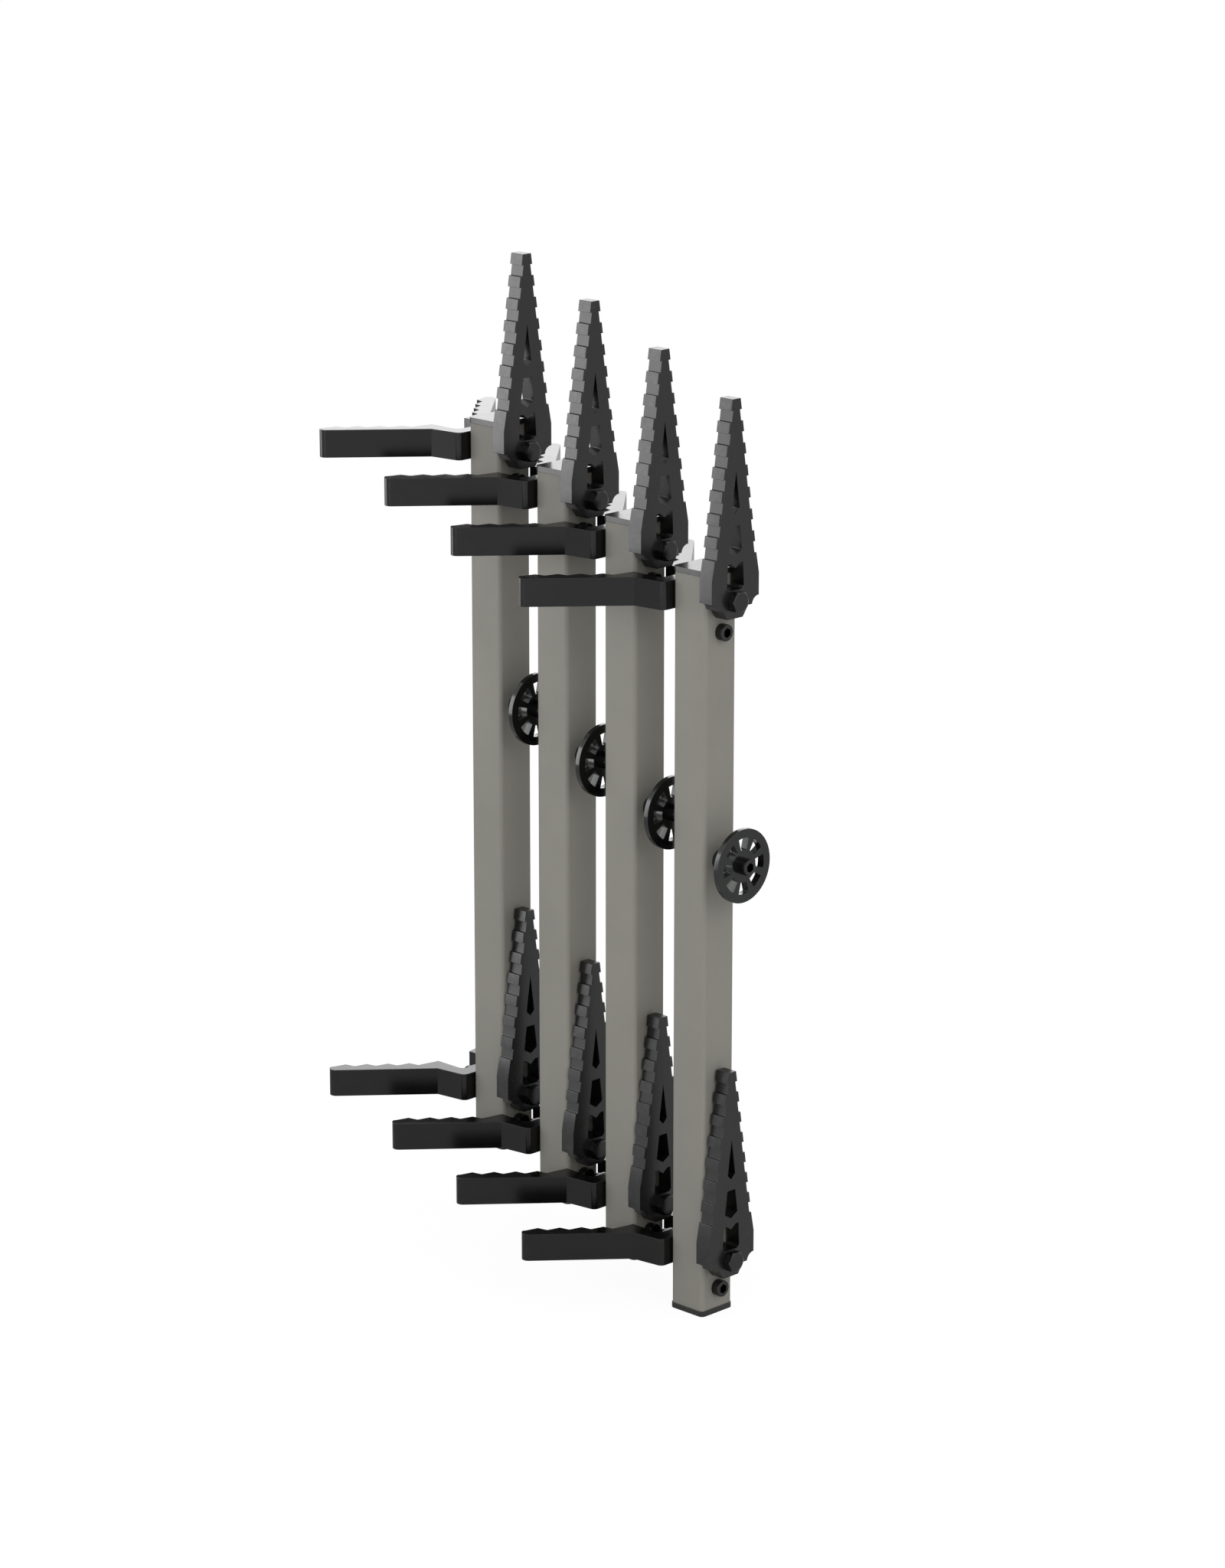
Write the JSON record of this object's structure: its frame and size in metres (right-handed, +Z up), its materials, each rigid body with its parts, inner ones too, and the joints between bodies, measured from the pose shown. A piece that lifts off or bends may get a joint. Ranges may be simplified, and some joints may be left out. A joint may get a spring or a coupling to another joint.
{
  "type": "climbing stick set",
  "caption": "Nested set of tree climbing sticks: square tubes with folding truss steps, toothed V brackets and a strap button on each.",
  "frame": {"origin": "middle of the underside of the front stick's bottom cap", "axes": "+X across the steps, +Y from the front stick towards the tree, +Z up the sticks"},
  "size_m": [0.1762, 0.3569, 0.7617],
  "materials": {
    "tube": "matte grey anodised",
    "bracket": "satin black anodised, extruded",
    "step": "satin black anodised, extruded and sawn",
    "cap": "moulded black plastic",
    "bolt": "black oxide",
    "nut": "black oxide",
    "washer": "black nylon",
    "button": "smooth black",
    "post": "smooth black"
  },
  "bodies": {
    "stick_1": {"stick_1_tube": "tube", "stick_1_top_cap": "cap", "stick_1_bottom_cap": "cap", "stick_1_upper_bracket": "bracket", "stick_1_lower_bracket": "bracket", "stick_1_pivot_bolts": "bolt", "stick_1_stop_screws": "bolt", "stick_1_washers": "washer", "stick_1_nuts": "nut", "stick_1_strap_button": "button", "stick_1_button_post": "post", "stick_1_button_screw": "bolt"},
    "stick_1_upper_step": {"stick_1_upper_step": "step"},
    "stick_1_lower_step": {"stick_1_lower_step": "step"},
    "stick_2": {"stick_2_tube": "tube", "stick_2_top_cap": "cap", "stick_2_bottom_cap": "cap", "stick_2_upper_bracket": "bracket", "stick_2_lower_bracket": "bracket", "stick_2_pivot_bolts": "bolt", "stick_2_stop_screws": "bolt", "stick_2_washers": "washer", "stick_2_nuts": "nut", "stick_2_strap_button": "button", "stick_2_button_post": "post", "stick_2_button_screw": "bolt"},
    "stick_2_upper_step": {"stick_2_upper_step": "step"},
    "stick_2_lower_step": {"stick_2_lower_step": "step"},
    "stick_3": {"stick_3_tube": "tube", "stick_3_top_cap": "cap", "stick_3_bottom_cap": "cap", "stick_3_upper_bracket": "bracket", "stick_3_lower_bracket": "bracket", "stick_3_pivot_bolts": "bolt", "stick_3_stop_screws": "bolt", "stick_3_washers": "washer", "stick_3_nuts": "nut", "stick_3_strap_button": "button", "stick_3_button_post": "post", "stick_3_button_screw": "bolt"},
    "stick_3_upper_step": {"stick_3_upper_step": "step"},
    "stick_3_lower_step": {"stick_3_lower_step": "step"},
    "stick_4": {"stick_4_tube": "tube", "stick_4_top_cap": "cap", "stick_4_bottom_cap": "cap", "stick_4_upper_bracket": "bracket", "stick_4_lower_bracket": "bracket", "stick_4_pivot_bolts": "bolt", "stick_4_stop_screws": "bolt", "stick_4_washers": "washer", "stick_4_nuts": "nut", "stick_4_strap_button": "button", "stick_4_button_post": "post", "stick_4_button_screw": "bolt"},
    "stick_4_upper_step": {"stick_4_upper_step": "step"},
    "stick_4_lower_step": {"stick_4_lower_step": "step"}
  },
  "joints": [
    {"name": "stick_3_unnest", "type": "slide", "parent": "stick_4", "child": "stick_3", "axis": [0, -1, 0], "range_m": [0, 0.12]},
    {"name": "stick_2_unnest", "type": "slide", "parent": "stick_3", "child": "stick_2", "axis": [0, -1, 0], "range_m": [0, 0.12]},
    {"name": "stick_1_unnest", "type": "slide", "parent": "stick_2", "child": "stick_1", "axis": [0, -1, 0], "range_m": [0, 0.12]},
    {"name": "stick_1_upper_step_fold", "type": "hinge", "parent": "stick_1", "child": "stick_1_upper_step", "pos_m": [0, -0.02357, 0.5392], "axis": [0, 1, 0], "range_deg": [-76, 76]},
    {"name": "stick_1_lower_step_fold", "type": "hinge", "parent": "stick_1", "child": "stick_1_lower_step", "pos_m": [0, -0.02357, 0.0443], "axis": [0, 1, 0], "range_deg": [-76, 76]},
    {"name": "stick_2_upper_step_fold", "type": "hinge", "parent": "stick_2", "child": "stick_2_upper_step", "pos_m": [0, 0.04593, 0.5651], "axis": [0, 1, 0], "range_deg": [-38, 38]},
    {"name": "stick_2_lower_step_fold", "type": "hinge", "parent": "stick_2", "child": "stick_2_lower_step", "pos_m": [0, 0.04593, 0.0702], "axis": [0, 1, 0], "range_deg": [-38, 38]},
    {"name": "stick_3_upper_step_fold", "type": "hinge", "parent": "stick_3", "child": "stick_3_upper_step", "pos_m": [0, 0.11542, 0.591], "axis": [0, 1, 0], "range_deg": [-38, 38]},
    {"name": "stick_3_lower_step_fold", "type": "hinge", "parent": "stick_3", "child": "stick_3_lower_step", "pos_m": [0, 0.11542, 0.0961], "axis": [0, 1, 0], "range_deg": [-38, 38]},
    {"name": "stick_4_upper_step_fold", "type": "hinge", "parent": "stick_4", "child": "stick_4_upper_step", "pos_m": [0, 0.18493, 0.6169], "axis": [0, 1, 0], "range_deg": [-38, 38]},
    {"name": "stick_4_lower_step_fold", "type": "hinge", "parent": "stick_4", "child": "stick_4_lower_step", "pos_m": [0, 0.18493, 0.122], "axis": [0, 1, 0], "range_deg": [-38, 38]}
  ]
}
